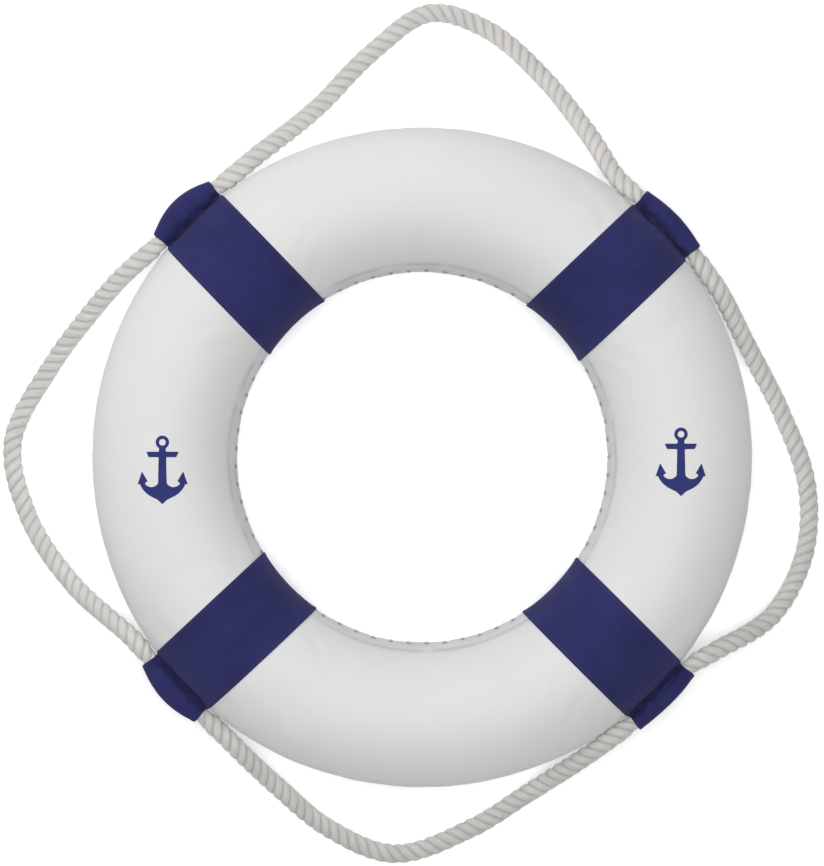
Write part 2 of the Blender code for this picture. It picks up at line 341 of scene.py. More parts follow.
def apply_modifier(obj, kind, **settings):
    """Puts the modifier's result in the place of the object's mesh."""
    set_all(obj.modifiers.new(kind.lower(), kind), settings)
    graph = bpy.context.evaluated_depsgraph_get()
    result = obj.evaluated_get(graph)
    mesh = bpy.data.meshes.new_from_object(result, preserve_all_data_layers=True, depsgraph=graph)
    old = obj.data
    obj.modifiers.clear()
    obj.data = mesh
    bpy.data.meshes.remove(old)
    mesh.name = obj.name


def outward(obj):
    """Turns the faces of a closed mesh outwards."""
    shape = bmesh.new()
    shape.from_mesh(obj.data)
    bmesh.ops.recalc_face_normals(shape, faces=shape.faces)
    shape.to_mesh(obj.data)
    shape.free()
    return obj


def finish_piece(obj, slot, material, *nodes):
    """Gives a piece its material and its body, and has it stand for its CAD nodes. The slot argument is not
    used.
    """
    obj.data.materials.clear()
    obj.data.materials.append(material)
    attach(obj, "root")
    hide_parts(*nodes)
    return obj


# Materials


class Shading:
    """A Principled material with short calls for the nodes that its colour, roughness and relief need."""

    def __init__(self, name, roughness, sheen=0.0, sheen_roughness=0.5, specular=0.3):
        self.material = bpy.data.materials.new(name)
        self.material.use_nodes = True
        self.tree = self.material.node_tree
        self.inputs = self.tree.nodes["Principled BSDF"].inputs
        sockets = ("Roughness", "Sheen Weight", "Sheen Roughness", "Specular IOR Level")
        for socket, value in zip(sockets, (roughness, sheen, sheen_roughness, specular)):
            self.inputs[socket].default_value = value
        self.place = self.add("ShaderNodeTexCoord").outputs["Object"]

    def add(self, kind, inputs=(), **settings):
        node = self.tree.nodes.new(kind)
        set_all(node, settings)
        for socket, value in dict(inputs).items():
            self.feed(node.inputs[socket], value)
        return node

    def feed(self, socket, value):
        if isinstance(value, bpy.types.NodeSocket):
            self.tree.links.new(value, socket)
        else:
            socket.default_value = value

    def math(self, operation, first, second=0.0, clamp=False):
        node = self.add("ShaderNodeMath", {0: first, 1: second}, operation=operation, use_clamp=clamp)
        return node.outputs[0]

    def spread(self, value, low, high):
        """A value mapped from low..high to 0..1, smoothly."""
        node = self.add("ShaderNodeMapRange", {"Value": value, "From Min": low, "From Max": high})
        node.interpolation_type = "SMOOTHSTEP"
        return node.outputs["Result"]

    def times(self, first, second, clamp=False):
        return self.math("MULTIPLY", first, second, clamp)

    def mix(self, share, first, second, blend="MIX"):
        inputs = {0: share, 6: first, 7: second}
        return self.add("ShaderNodeMix", inputs, data_type="RGBA", blend_type=blend).outputs[2]

    def noise(self, scale, detail=3.0, roughness=0.5, vector=None):
        inputs = {"Vector": vector or self.place, "Scale": scale, "Detail": detail, "Roughness": roughness}
        return self.add("ShaderNodeTexNoise", inputs).outputs["Fac"]

    def attribute(self, name):
        return self.add("ShaderNodeAttribute", attribute_name=name).outputs["Fac"]

    def cloth_axes(self):
        """The two lengths along the cloth, in metres, from the piece's own UV map."""
        lengths = self.add("ShaderNodeUVMap", uv_map="cloth").outputs["UV"]
        axes = self.add("ShaderNodeSeparateXYZ", {"Vector": lengths})
        return axes.outputs["X"], axes.outputs["Y"]

    def wave(self, length, period):
        return self.math("SINE", self.times(length, math.tau / period))

    def bump(self, height, distance, strength=1.0, under=None):
        inputs = {"Height": height, "Distance": distance, "Strength": strength}
        if under is not None:
            inputs["Normal"] = under
        return self.add("ShaderNodeBump", inputs).outputs["Normal"]

    def finish(self, colour, normal=None, roughness=None):
        for socket, value in (("Base Color", colour), ("Normal", normal), ("Roughness", roughness)):
            if value is not None:
                self.feed(self.inputs[socket], value)
        return self.material


def rgb(red, green, blue):
    return (red, green, blue, 1.0)


def plain_weave(look, pitch):
    """The relief of a plain weave: threads that pass over and under each other."""
    along, across = look.cloth_axes()
    return look.times(look.wave(along, 2 * pitch), look.wave(across, 2 * pitch))


def twill_weave(look, pitch):
    """The relief of a fine twill: diagonal ribs broken by the threads across them."""
    along, across = look.cloth_axes()
    rib = look.wave(look.math("ADD", along, across), 2 * pitch)
    thread = look.wave(look.math("SUBTRACT", along, across), 2 * pitch)
    return look.math("ADD", rib, look.times(thread, THREAD_SHARE))


def cover_material():
    """Smooth matt white canvas, with painted bluish-grey shade where it puckers round the hole and along the
    line where the seam allowance ends.
    """
    look = Shading("white canvas", roughness=0.7, sheen=0.03, specular=0.2)
    weave = plain_weave(look, CANVAS_PITCH)
    mottle = look.noise(14.0, detail=4.0, roughness=0.6)
    # Painted bluish-grey shade beside the inner seam, where the puckered cloth lies in shade.
    seam_shade = look.times(look.attribute("seam"), look.noise(60.0))
    white = look.mix(mottle, rgb(0.775, 0.775, 0.775), rgb(0.815, 0.812, 0.808))
    white = look.mix(look.times(seam_shade, 0.75, clamp=True), white, rgb(0.46, 0.49, 0.53))
    # Painted shade in patches along the line where the seam allowance ends.
    ridge_shade = look.times(look.attribute("ridge"), look.spread(look.noise(45.0), 0.3, 0.6))
    white = look.mix(look.times(ridge_shade, 0.5), white, rgb(0.42, 0.43, 0.46))
    threads = look.mix(look.spread(weave, -1.0, 0.2), rgb(0.74, 0.74, 0.74), rgb(1.0, 1.0, 1.0))
    colour = look.mix(0.16, white, threads, blend="MULTIPLY")
    fuzz = look.noise(420.0, detail=4.0, roughness=0.6)
    slub = look.bump(fuzz, distance=0.00025, strength=0.25)
    normal = look.bump(weave, distance=0.00005, strength=0.6, under=slub)
    rough = look.spread(mottle, -1.2, 2.4)
    return look.finish(colour, normal, look.math("ADD", rough, 0.28))


def band_material():
    """Navy twill, worn paler along the hems and a little brighter in random patches."""
    look = Shading("navy twill", roughness=0.85, sheen=0.02, specular=0.10)
    weave = twill_weave(look, TWILL_PITCH)
    patches = look.noise(26.0, detail=4.0, roughness=0.6)
    bright = look.spread(patches, 0.35, 0.68)
    navy = look.mix(bright, rgb(0.033, 0.035, 0.134), rgb(0.043, 0.045, 0.188))
    fray = look.noise(300.0, detail=4.0, roughness=0.7)
    wear = look.times(look.attribute("hem"), fray)
    navy = look.mix(look.times(wear, 0.35, clamp=True), navy, rgb(0.075, 0.085, 0.22))
    # Painted shade along the crease between the tunnel and the ring.
    shade = look.times(look.attribute("crease"), 0.7)
    navy = look.mix(shade, navy, rgb(0.010, 0.010, 0.035))
    threads = look.spread(weave, -1.4, 1.0)
    colour = look.mix(threads, rgb(0.020, 0.021, 0.088), navy)
    fibres = look.bump(look.noise(900.0, roughness=0.6), distance=0.0002, strength=0.3)
    return look.finish(colour, look.bump(weave, distance=0.00008, strength=0.8, under=fibres))


def rope_material():
    """Undyed cotton rope: yarns along the rope's axis, painted shade in the grooves between the strands,
    small patches of warmer fibre.
    """
    look = Shading("cotton rope", roughness=0.95, sheen=0.3, sheen_roughness=0.6, specular=0.1)
    turns, along = look.cloth_axes()
    wander = look.times(look.noise(90.0, detail=2.0), 0.05)
    yarns = look.wave(look.math("ADD", turns, wander), 1 / YARNS)
    tone = look.noise(38.0, roughness=0.6)
    colour = look.mix(look.spread(tone, 0.3, 0.7), rgb(0.695, 0.685, 0.665), rgb(0.785, 0.765, 0.735))
    # Painted shade in the grooves between the strands.
    groove_shade = look.spread(look.attribute("groove_shade"), 0.45, 1.0)
    colour = look.mix(look.times(groove_shade, 0.45), colour, rgb(0.36, 0.34, 0.32))
    between = look.spread(yarns, -0.2, -1.0)
    colour = look.mix(look.times(between, 0.28), colour, rgb(0.40, 0.38, 0.35))
    lengths = {"X": look.times(turns, 60.0), "Y": look.times(along, 130.0)}
    stretched = look.add("ShaderNodeCombineXYZ", lengths).outputs[0]
    strokes = look.noise(6.0, detail=5.0, roughness=0.7, vector=stretched)
    fibres = look.bump(strokes, distance=0.0004, strength=0.5)
    return look.finish(colour, look.bump(yarns, distance=0.00018, strength=0.6, under=fibres))


def thread_material(name, colour, dark):
    """Twisted sewing thread: fine slanting plies."""
    look = Shading(name, roughness=0.6, sheen=0.2)
    plies = look.wave(look.noise(500.0, detail=1.0), 0.25)
    mixed = look.mix(look.spread(plies, -1.0, 1.0), dark, colour)
    return look.finish(mixed, look.bump(plies, distance=0.00008, strength=0.6))


def foam_material():
    """Closed-cell foam with a fine beaded skin."""
    look = Shading("closed-cell foam", roughness=0.85)
    cells = look.add("ShaderNodeTexVoronoi", {"Vector": look.place, "Scale": 420.0})
    beads = cells.outputs["Distance"]
    tone = look.mix(look.noise(30.0), rgb(0.84, 0.84, 0.80), rgb(0.92, 0.92, 0.90))
    colour = look.mix(look.spread(beads, 0.45, 0.9), tone, rgb(0.66, 0.66, 0.62))
    return look.finish(colour, look.bump(beads, distance=0.0004, strength=-0.6))


def tape_material():
    """Cloth tape, with a fine grid of threads under its film."""
    look = Shading("cloth tape", roughness=0.5, specular=0.4)
    weave = plain_weave(look, TAPE_PITCH)
    colour = look.mix(look.spread(weave, -1.0, 0.6), rgb(0.60, 0.57, 0.48), rgb(0.75, 0.72, 0.62))
    return look.finish(colour, look.bump(weave, distance=0.00006, strength=0.7))


def print_material():
    """A matt navy film with the cover's weave showing through it, and a few worn flecks."""
    look = Shading("navy print", roughness=0.75, specular=0.08)
    grain = look.noise(1400.0, detail=2.0, roughness=0.6)
    flecks = look.spread(look.noise(700.0, roughness=0.7), 0.63, 0.72)
    navy = look.mix(look.noise(120.0), rgb(0.028, 0.036, 0.152), rgb(0.040, 0.049, 0.196))
    colour = look.mix(look.times(flecks, 0.2), navy, rgb(0.30, 0.31, 0.42))
    return look.finish(colour, look.bump(grain, distance=0.00012, strength=0.4))


# The camera, the floor and the light


def add_camera():
    data = bpy.data.cameras.new("camera")
    data.sensor_width = SENSOR
    data.lens = SENSOR * (CAMERA_PLACE[2] - CENTRE_Z) / VIEW_HEIGHT
    camera = new_object("camera", data)
    camera.location = CAMERA_PLACE
    bpy.context.scene.camera = camera


def add_area_light(name, place, size, watts):
    data = bpy.data.lights.new(name, "AREA")
    data.shape = "SQUARE"
    data.size = size
    data.energy = watts
    light = new_object(name, data)
    light.location = place
    light.rotation_euler = (-Vector(place)).to_track_quat("-Z", "Y").to_euler()


def add_studio():
    """A pale lit floor, a big soft light above and a second one from the top of the picture."""
    look = Shading("pale floor", roughness=0.9, specular=0.0)
    look.inputs["Emission Color"].default_value = rgb(1.0, 1.0, 1.0)
    look.inputs["Emission Strength"].default_value = FLOOR_GLOW
    corners = [(x * FLOOR_HALF, y * FLOOR_HALF, 0) for x, y in ((-1, -1), (1, -1), (1, 1), (-1, 1))]
    floor = mesh_object("floor", corners, [(0, 1, 2, 3)])
    floor.data.materials.append(look.finish(rgb(FLOOR_TONE, FLOOR_TONE, FLOOR_TONE)))
    add_area_light("overhead light", place=(0.0, 0.0, 3.4), size=1.4, watts=82)
    add_area_light("upper light", place=(-1.5, 2.2, 1.7), size=1.6, watts=28)
    world = bpy.data.worlds.new("studio")
    world.use_nodes = True
    background = world.node_tree.nodes["Background"]
    background.inputs["Color"].default_value = rgb(1.0, 1.0, 1.0)
    background.inputs["Strength"].default_value = WORLD_LIGHT
    bpy.context.scene.world = world
    bpy.context.scene.view_settings.view_transform = "Standard"


# The rope


def smooth_through(points, samples_per_span):
    """Points along a centripetal Catmull-Rom curve through the given ones, which it includes."""
    points = [Vector(point) for point in points]
    padded = [2 * points[0] - points[1], *points, 2 * points[-1] - points[-2]]
    found = []
    for before, start, end, after in zip(padded, padded[1:], padded[2:], padded[3:]):
        first = (start - before).length ** 0.5
        second = first + (end - start).length ** 0.5
        third = second + (after - end).length ** 0.5
        for step in range(samples_per_span):
            at = first + (second - first) * step / samples_per_span
            early = before.lerp(start, at / first)
            middle = start.lerp(end, (at - first) / (second - first))
            late = end.lerp(after, (at - second) / (third - second))
            early = early.lerp(middle, at / second)
            late = middle.lerp(late, (at - first) / (third - first))
            found.append(early.lerp(late, (at - first) / (second - first)))
    return [*found, points[-1]]


def distance_round(points, name):
    """How far round the ring the points are from a band's middle."""
    turn = np.arctan2(points[:, 1], points[:, 0]) - math.radians(BAND_ANGLES[name])
    return np.hypot(points[:, 0], points[:, 1]) * np.abs((turn + math.pi) % math.tau - math.pi)


def rope_ring_radius(name):
    """The distance from the ring's axis to the rope's centre in a tunnel, from the rope's CAD solid."""
    points = mesh_points(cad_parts["grab_rope"].data)
    reach = np.hypot(points[:, 0], points[:, 1])
    return float(reach[distance_round(points, name) < 0.2 * ROPE_DIAMETER].mean())


def tunnel_point(name, along):
    radius = rope_ring_radius(name)
    return Vector(polar(radius, math.radians(BAND_ANGLES[name]) + along / radius, CENTRE_Z))


def rope_route():
    """The rope's own points: through every tunnel and loop, from one side of its joint to the other."""
    route = []
    for name in ROPE_ORDER:
        steps = (0, 0.5, 1) if name == JOINT_BAND else (-1, 0, 1)
        route += [tunnel_point(name, step * HALF_BAND) for step in steps]
        route += LOOP_AFTER[name]
    route += [tunnel_point(JOINT_BAND, step * HALF_BAND) for step in (-1, -0.5, 0)]
    route[0] = tunnel_point(JOINT_BAND, GAP)
    route[-1] = tunnel_point(JOINT_BAND, -GAP)
    return route


def grip_at(points, name, fade):
    """How far a band holds each of the rope's points: 1 in its tunnel, down to 0 past its mouths."""
    return 1 - smoothstep(PINCH_REACH, PINCH_REACH + fade, distance_round(points, name))


def away_from_axis(points):
    """Level unit vectors that point from the ring's axis to the points."""
    return points * (1, 1, 0) / np.hypot(points[:, 0], points[:, 1])[:, None]


def rope_path():
    """The rope's centre line at even steps: its CAD route, no lower than the floor allows."""
    line = np.array([tuple(point) for point in smooth_through(rope_route(), ROUTE_SAMPLES)])
    line[:, 2] = np.maximum(line[:, 2], ROPE_RADIUS)
    along = np.concatenate([[0.0], np.cumsum(norm(np.diff(line, axis=0), axis=1))])
    steps = round(along[-1] / LAY * RINGS_PER_LAY)
    at = np.linspace(0.0, along[-1], steps + 1)
    path = np.stack([np.interp(at, along, line[:, axis]) for axis in range(3)], axis=1)
    pull = np.zeros(len(path))
    for name in ROPE_ORDER:
        pull += (rope_ring_radius(name) - PINCHED_RADIUS) * grip_at(path, name, PULL_FADE)
    return path - away_from_axis(path) * pull[:, None], at


def path_frames(path):
    """Two directions across the path at each of its points, carried along it without twist."""
    ahead = np.gradient(path, axis=0)
    ahead /= norm(ahead, axis=1)[:, None]
    side = np.zeros_like(path)
    side[0] = np.cross((0, 0, 1), ahead[0])
    for index in range(1, len(path)):
        side[index] = side[index - 1] - ahead[index] * (side[index - 1] @ ahead[index])
        side[index] /= norm(side[index])
    return side, np.cross(ahead, side)


def add_rope(material):
    """A rope of three strands laid right-handed, with sharp grooves between them."""
    path, at = rope_path()
    side, up = path_frames(path)
    count = STRANDS * POINTS_PER_STRAND
    share = np.arange(count) / POINTS_PER_STRAND % 1.0
    from_crest = np.abs(2 * share - 1)
    radius = ROPE_RADIUS + STRAND_SWELL - GROOVE_DEPTH * from_crest**GROOVE_SHARPNESS
    turn = math.tau * (np.arange(count)[None, :] / count + at[:, None] / LAY)
    bumps = wave_sum(seed=11, count=14, longest=0.09, shortest=0.008)
    spread = radius[None, :] + UNEVENNESS * bumps(at[:, None], STRAND_STEP * np.arange(count)[None, :])
    offset = side[:, None] * (spread * np.cos(turn))[..., None]
    offset += up[:, None] * (spread * np.sin(turn))[..., None]
    grip = sum(grip_at(path, name, PINCH_FADE) for name in ROPE_ORDER)[:, None, None]
    outwards = away_from_axis(path)[:, None]
    radial = (offset * outwards).sum(-1, keepdims=True)
    offset -= outwards * radial * PINCH_FLATTEN * grip
    offset[..., 2:] *= 1 - (1 - PINCH_HEIGHT) * grip
    points = path[:, None] + offset
    points[..., 2] = np.maximum(points[..., 2], FLOOR_CLEARANCE)
    faces = closed_tube_faces(len(path), count)
    rope = mesh_object("laid_rope", points, faces, rope_uvs(at, count))
    # Mask for the painted shade in the grooves between the strands.
    set_attribute(rope, "groove_shade", np.tile(from_crest, len(path)))
    outward(rope)
    finish_piece(rope, "rope", material, "grab_rope")
    return rope, path, float(at[-1])


def rope_uvs(at, count):
    """u in turns about the rope's axis, not twisted with the strands, and v along it."""
    corners = grid_corners(len(at) - 1, count)
    pairs = [np.stack([c / count + at[r] / LAY, at[r] + 0 * c], axis=-1) for r, c in corners]
    sides = np.stack(pairs, axis=2).reshape(-1, 2)
    return np.concatenate([sides, np.zeros((2 * count, 2))])


def add_joint_tape(path, material):
    """Tape wound round the rope's joint on a slant, so that each turn's edge shows."""
    low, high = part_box("rope_joint_tape")
    half = (Vector(high - low) * 0.5).to_2d().length - ROPE_RADIUS
    along = np.linspace(-half, half, TAPE_ROWS)
    radius = float(np.hypot(*path[0, :2]))
    middle = math.radians(BAND_ANGLES[JOINT_BAND])
    turn = even_angles(TAPE_COLUMNS)
    wound = (along[:, None] / TAPE_TURN + turn[None, :] / math.tau) % 1.0
    outer = ROPE_RADIUS + TAPE_OUTSIDE + TAPE_THICKNESS * wound
    rings = []
    for index, spread in enumerate([outer, np.full_like(outer, ROPE_RADIUS + TAPE_INSIDE)]):
        out = spread * np.cos(turn)[None, :] * (1 - PINCH_FLATTEN)
        rise = spread * np.sin(turn)[None, :]
        angle = np.broadcast_to((middle + along / radius)[:, None], out.shape)
        ring = polar(radius + out, angle, CENTRE_Z + rise)
        rings.append(ring if index == 0 else ring[::-1])
    points = np.concatenate(rings)
    lengths = np.linspace(0, 4 * half, 2 * TAPE_ROWS + 1)
    uvs = grid_uvs(lengths, np.linspace(0, math.tau * ROPE_RADIUS, TAPE_COLUMNS + 1))
    tape = mesh_object("wound_tape", points, grid_faces(2 * TAPE_ROWS, TAPE_COLUMNS), uvs)
    return finish_piece(outward(tape), "tape", material, "rope_joint_tape")


# The cover


def tube_rows():
    """Angles of the cover's rows from the outer seam over the front to the inner one, without the seams."""
    fine = list(FINE_ROWS)
    plain = list(np.arange(fine[-1] + ROW_STEP, 180 - fine[-1] - ROW_STEP / 2, ROW_STEP))
    return np.radians(fine + plain + [180 - row for row in reversed(fine)])


def band_distance(theta, reach):
    """Distance across the nearest band's width from its edge, less than 0 inside the band."""
    nearest = np.full(np.broadcast(theta, reach).shape, 1.0)
    for degrees in BAND_ANGLES.values():
        turn = (theta - math.radians(degrees) + math.pi) % math.tau - math.pi
        across = reach * np.sin(np.clip(np.abs(turn), 0, math.pi / 2))
        nearest = np.minimum(nearest, across - HALF_BAND)
    return nearest


def stitch_phase(theta):
    """1 at each stitch of the inner seam and 0 half-way between two."""
    return 0.5 + 0.5 * np.cos(INNER_STITCHES * theta)


def cover_start():
    """The cover's grid before it is inflated, and which of its points are sewn or gripped."""
    half = tube_rows()
    phi = np.concatenate([[0.0], half, [math.pi], math.pi + half])
    theta = even_angles(THETA_STEPS)
    phi = phi[:, None]
    theta = theta[None, :]
    outer_seam = 0
    inner_seam = len(half) + 1
    radius = np.full((len(phi), THETA_STEPS), TUBE_RADIUS - SLACK)
    uneven = wave_sum(seed=5, count=12, longest=0.8, shortest=0.1)(RING_RADIUS * theta[0], 0.0)
    dimples = STITCH_DEPTH * (1 + STITCH_UNEVENNESS * uneven) * stitch_phase(theta[0])
    radius[outer_seam] = TUBE_RADIUS - SEAM_DEPTH
    radius[inner_seam] = TUBE_RADIUS - SEAM_DEPTH - dimples
    edge = band_distance(theta, RING_RADIUS + TUBE_RADIUS * np.cos(phi))
    under_band = edge < -UNDER_BAND
    sewn = np.zeros(radius.shape, bool)
    sewn[[outer_seam, inner_seam]] = True
    squeezed = TUBE_RADIUS - BAND_SQUEEZE - crease_dent(phi, 1 + edge / HALF_BAND)
    radius = np.where(under_band & ~sewn, squeezed, radius)
    on_stitch_row = np.isclose(np.abs(phi - math.pi), math.radians(STITCH_ROW))
    at_stitch = on_stitch_row & (stitch_phase(theta) > AT_STITCH)
    radius = np.where(at_stitch & ~under_band, TUBE_RADIUS - STITCH_DEPTH, radius)
    return tube_points(theta, phi, radius), sewn | under_band | at_stitch, phi, theta


def crease_dent(phi, share):
    """How far a band's stitches pull the ring in: most at the creases, none at the band's edges (share 1)."""
    from_side = np.degrees(np.abs((phi + math.pi) % math.tau - math.pi))
    beside = np.clip(from_side - DENT_ANGLE, 0, None)
    return CREASE_DENT * np.exp(-((beside / DENT_REACH) ** 2)) * (1 - np.clip(share, 0, 1) ** 4)


def inflate(points, held):
    """The cover as cloth: held along its seams and under its bands, blown out against them."""
    rows, columns = held.shape
    obj = mesh_object("inflating", points, grid_faces(rows, columns))
    outward(obj)
    pins = obj.vertex_groups.new(name="pins")
    pins.add([int(index) for index in np.flatnonzero(held)], 1.0, "REPLACE")
    cloth = obj.modifiers.new("cloth", "CLOTH").settings
    set_all(cloth, CANVAS)
    cloth.vertex_group_mass = "pins"
    cloth.effector_weights.gravity = 0
    scene = bpy.context.scene
    for step in range(CLOTH_FRAMES):
        scene.frame_set(step + 1)
    found = mesh_points(obj.evaluated_get(bpy.context.evaluated_depsgraph_get()).data)
    scene.frame_set(1)
    bpy.data.objects.remove(obj, do_unlink=True)
    return points + CLOTH_SHARE * (found.reshape(points.shape) - points)


def capped(points, phi, theta):
    """The cover near the tube's round surface, with its ridge and puckers, and no lower than the floor."""
    ring = polar(RING_RADIUS + 0 * theta, theta, CENTRE_Z)
    arm = points - ring
    reach = norm(arm, axis=-1, keepdims=True)
    low = TUBE_RADIUS - CAP_IN - SEAM_DEPTH
    from_seam = np.degrees(np.abs(phi - math.pi))
    ridge = np.exp(-(((from_seam - RIDGE_ANGLE) / RIDGE_WIDTH) ** 2))
    along = RING_RADIUS * theta
    fading = 0.7 + 0.3 * wave_sum(seed=8, count=8, longest=0.5, shortest=0.08)(along, 0.0)
    uneven = 0.8 + 0.6 * wave_sum(seed=9, count=10, longest=0.12, shortest=0.02)(along, 0.0)
    folds = stitch_phase(theta) * uneven * np.exp(-((from_seam / PUCKER_REACH) ** 2))
    worked = RIDGE_DEPTH * ridge * fading + PUCKER_DEPTH * np.clip(folds, 0, None)
    radius = np.clip(reach, low, TUBE_RADIUS + CAP_OUT) - worked[..., None]
    kept = ring + arm / reach * radius
    kept[..., 2] = np.maximum(kept[..., 2], FLOOR_CLEARANCE)
    return kept


def surface_normals(points):
    """Unit normals of a grid that is closed both ways, pointing out of the tube."""
    across = np.roll(points, -1, axis=0) - np.roll(points, 1, axis=0)
    along = np.roll(points, -1, axis=1) - np.roll(points, 1, axis=1)
    normals = np.cross(along, across)
    return normals / norm(normals, axis=-1, keepdims=True)


def add_cover_panel(name, surface, picked, material, node):
    """One panel: the outside's picked rows from seam to seam, both edges turned in, and the inside."""
    outside = surface[picked]
    lined = sorted({*range(0, len(picked), LINING_STEP), len(picked) - 1})
    inside = (outside - surface_normals(surface)[picked] * COVER_THICKNESS)[lined]
    away = np.sign(outside[len(picked) // 2, 0, 2] - CENTRE_Z)
    ring = surface.mean(axis=0)
    turned = []
    for end in (0, -1):
        outside[end, :, 2] += away * SEAM_HALF_GAP
        inside[end, :, 2] += away * (SEAM_HALF_GAP + COVER_THICKNESS)
        inwards = ring - outside[end]
        inwards[:, 2] = 0
        inwards /= norm(inwards, axis=-1, keepdims=True)
        turned.append((outside[end] + inwards * SEAM_ALLOWANCE, inside[end] + inwards * SEAM_ALLOWANCE))
    (first_out, first_in), (last_out, last_in) = turned
    loop = np.concatenate([[first_out], outside, [last_out], [last_in], inside[::-1], [first_in]])
    steps = norm(np.diff(np.concatenate([loop, loop[:1]]), axis=0), axis=-1).mean(axis=1)
    across = np.concatenate([[0.0], np.cumsum(steps)])
    along = np.linspace(0.0, math.tau * RING_RADIUS, THETA_STEPS + 1)
    panel = mesh_object(name, loop, grid_faces(len(loop), THETA_STEPS), grid_uvs(across, along))
    outward(panel)
    apply_modifier(panel, "SUBSURF", levels=1, render_levels=1)
    mark_seam(panel)
    finish_piece(panel, "cover", material, node)
    return panel


def set_attribute(obj, name, values):
    """Gives each of an object's points a value that its material reads."""
    layer = obj.data.attributes.new(name, "FLOAT", "POINT")
    layer.data.foreach_set("value", np.asarray(values, np.float32).ravel())


def mark_seam(panel):
    """Attributes that place the painted shade beside the inner seam and along the line where its allowance
    ends.
    """
    points = mesh_points(panel.data)
    inwards = RING_RADIUS - np.hypot(points[:, 0], points[:, 1])
    from_seam = np.degrees(np.abs(np.arctan2(points[:, 2] - CENTRE_Z, inwards)))
    set_attribute(panel, "seam", 1 - smoothstep(SEAM_SHADE_START, SEAM_SHADE_END, from_seam))
    set_attribute(panel, "ridge", np.exp(-(((from_seam - RIDGE_ANGLE) / RIDGE_WIDTH) ** 2)))


def add_foam_half(name, surface, picked, material, node):
    """Half the foam ring: the cover's shape a little smaller, closed by the glued face."""
    picked = picked[1:-1]
    inset = COVER_THICKNESS + FOAM_CLEARANCE
    outside = (surface - surface_normals(surface) * inset)[picked][:, ::FOAM_COLUMN_STEP]
    away = np.sign(outside[len(picked) // 2, 0, 2] - CENTRE_Z)
    face_z = CENTRE_Z + away * GAP / 2
    edges = outside[[0, -1]].copy()
    edges[..., 2] = face_z
    shares = np.linspace(0.0, 1.0, FACE_ROWS)[:, None, None]
    face = edges[1] * (1 - shares) + edges[0] * shares
    loop = np.concatenate([outside, face])
    half = mesh_object(name, loop, grid_faces(len(loop), loop.shape[1]))
    outward(half)
    half.data.set_sharp_from_angle(angle=math.radians(FOAM_EDGE_ANGLE))
    finish_piece(half, "foam", material, node)


# The bands


def band_section(t, name):
    """The band's loop in the plane across the tube, for each distance t from the band's middle.

    Round the tunnel's upper half, down the crease, over and round the tube, up the lower crease and back.
    It gives x from the tube's centre, z from its centre plane, the outward normal and the crease's distance.
    """
    bulge = TUNNEL_SLACK[name] * (1 - (t / HALF_BAND) ** 2)
    dent = crease_dent(0.0, np.abs(t) / HALF_BAND)
    lumps = wave_sum(sum(map(ord, name)), count=10, longest=0.030, shortest=0.006)(t, 0.0)
    crease = CREASE_RADIUS * (1 + CREASE_UNEVENNESS * np.clip(lumps, -CREASE_LIMIT, CREASE_LIMIT))
    tunnel = MOUTH_RADIUS + (bulge + dent) / 2
    centre = MOUTH_REACH - RING_RADIUS - MOUTH_RADIUS + (bulge - dent) / 2
    tube = BAND_WRAP_RADIUS - dent
    fillet_x = ((tube + crease) ** 2 - (tunnel + crease) ** 2 + centre**2) / (2 * centre)
    fillet_z = np.sqrt((tube + crease) ** 2 - fillet_x**2)
    tube_angle = np.arctan2(fillet_z, fillet_x)
    tunnel_angle = np.arctan2(fillet_z, fillet_x - centre)
    fillet_start = math.tau + np.arctan2(-fillet_z, centre - fillet_x)
    fillet_end = math.pi + tube_angle
    half_tunnel = arc_rows(centre, 0 * t, tunnel, 0 * t, tunnel_angle, TUNNEL_ROWS, 1)
    fillet = arc_rows(fillet_x, fillet_z, crease, fillet_start, fillet_end, CREASE_ROWS, -1)
    wrap_angle = tube_angle + (math.tau - 2 * tube_angle) * np.linspace(0.0, 1.0, WRAP_ROWS)[:, None]
    wrap_radius = BAND_WRAP_RADIUS - crease_dent(wrap_angle, np.abs(t) / HALF_BAND)
    wrap = arc_rows(0 * t, 0 * t, wrap_radius, tube_angle, math.tau - tube_angle, WRAP_ROWS, 1)
    upper = np.concatenate([half_tunnel[:-1], fillet[:-1]], axis=0)
    lower = upper[::-1] * (1, -1, 1, -1)
    section = np.concatenate([upper, wrap, lower[:-1]], axis=0)
    x = section[..., 0]
    z = section[..., 1]
    heightening = np.maximum(TUNNEL_HALF_HEIGHT / tunnel, 1.0) - 1
    taller = 1 + heightening * smoothstep(fillet_x, fillet_x + HEIGHT_REACH, x)
    distance = np.hypot(x - fillet_x, np.abs(z) - fillet_z)
    return x, z * taller, section[..., 2:], distance


def arc_rows(centre_x, centre_z, radius, start, end, count, side):
    """Points and outward normals along an arc, as rows of (x, z, normal x, normal z) for every t."""
    share = np.linspace(0.0, 1.0, count)[:, None]
    angle = start + (end - start) * share
    x = centre_x + radius * np.cos(angle)
    z = centre_z + radius * np.sin(angle)
    return np.stack([x, z, side * np.cos(angle), side * np.sin(angle)], axis=-1)


def band_points(name, t, lift):
    """Points of a band's surface: t across its width, raised by lift along its outward normal."""
    x, z, normal, distance = band_section(t, name)
    x = x + normal[..., 0] * lift
    z = z + normal[..., 1] * lift
    near = np.exp(-((distance / NARROWING_REACH) ** 2))
    across = t * (1 - CREASE_PINCH * near)
    reach = RING_RADIUS + x
    angle = math.radians(BAND_ANGLES[name]) + np.arcsin(across / reach)
    points = polar(reach, angle, CENTRE_Z + z)
    points[..., 2] = np.maximum(points[..., 2], FLOOR_CLEARANCE)
    return points


